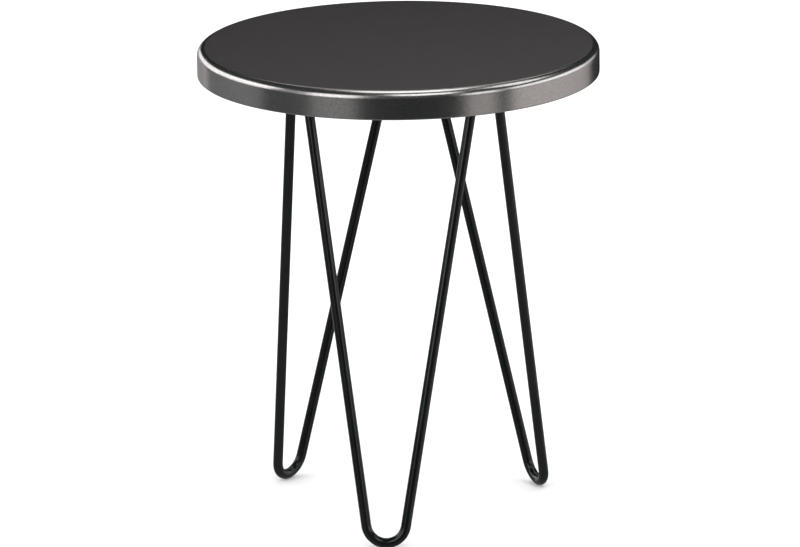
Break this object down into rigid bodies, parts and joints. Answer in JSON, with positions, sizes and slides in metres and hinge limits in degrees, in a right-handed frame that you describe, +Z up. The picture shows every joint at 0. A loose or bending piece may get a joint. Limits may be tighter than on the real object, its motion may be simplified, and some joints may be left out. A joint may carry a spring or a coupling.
{
  "type": "round side table nightstand",
  "caption": "Round nightstand with a thin gunmetal steel top and splayed black hairpin legs, for a lamp, book or drink beside a bed.",
  "frame": {"origin": "on the floor, on the upright axis of the round top", "axes": "+Z up along the axis of the top, -Y towards the front leg, +X to the right as seen from the front"},
  "size_m": [0.4, 0.4, 0.477],
  "materials": {
    "gunmetal_steel": "satin gunmetal",
    "black_powder_coat": "satin black powder coat",
    "black_zinc": "black zinc plate",
    "core_fibreboard": "raw sanded fibreboard",
    "dark_backing": "matt melamine sheet",
    "insert_brass": "turned brass"
  },
  "bodies": {
    "root": {"top_pan": "gunmetal_steel", "core_board": "core_fibreboard", "backing_sheet": "dark_backing", "front_leg_rod": "black_powder_coat", "front_leg_plate": "black_powder_coat", "front_leg_welds": "black_powder_coat", "front_leg_screws": "black_zinc", "front_leg_washers": "black_zinc", "front_leg_inserts": "insert_brass", "right_leg_rod": "black_powder_coat", "right_leg_plate": "black_powder_coat", "right_leg_welds": "black_powder_coat", "right_leg_screws": "black_zinc", "right_leg_washers": "black_zinc", "right_leg_inserts": "insert_brass", "left_leg_rod": "black_powder_coat", "left_leg_plate": "black_powder_coat", "left_leg_welds": "black_powder_coat", "left_leg_screws": "black_zinc", "left_leg_washers": "black_zinc", "left_leg_inserts": "insert_brass"}
  },
  "joints": []
}
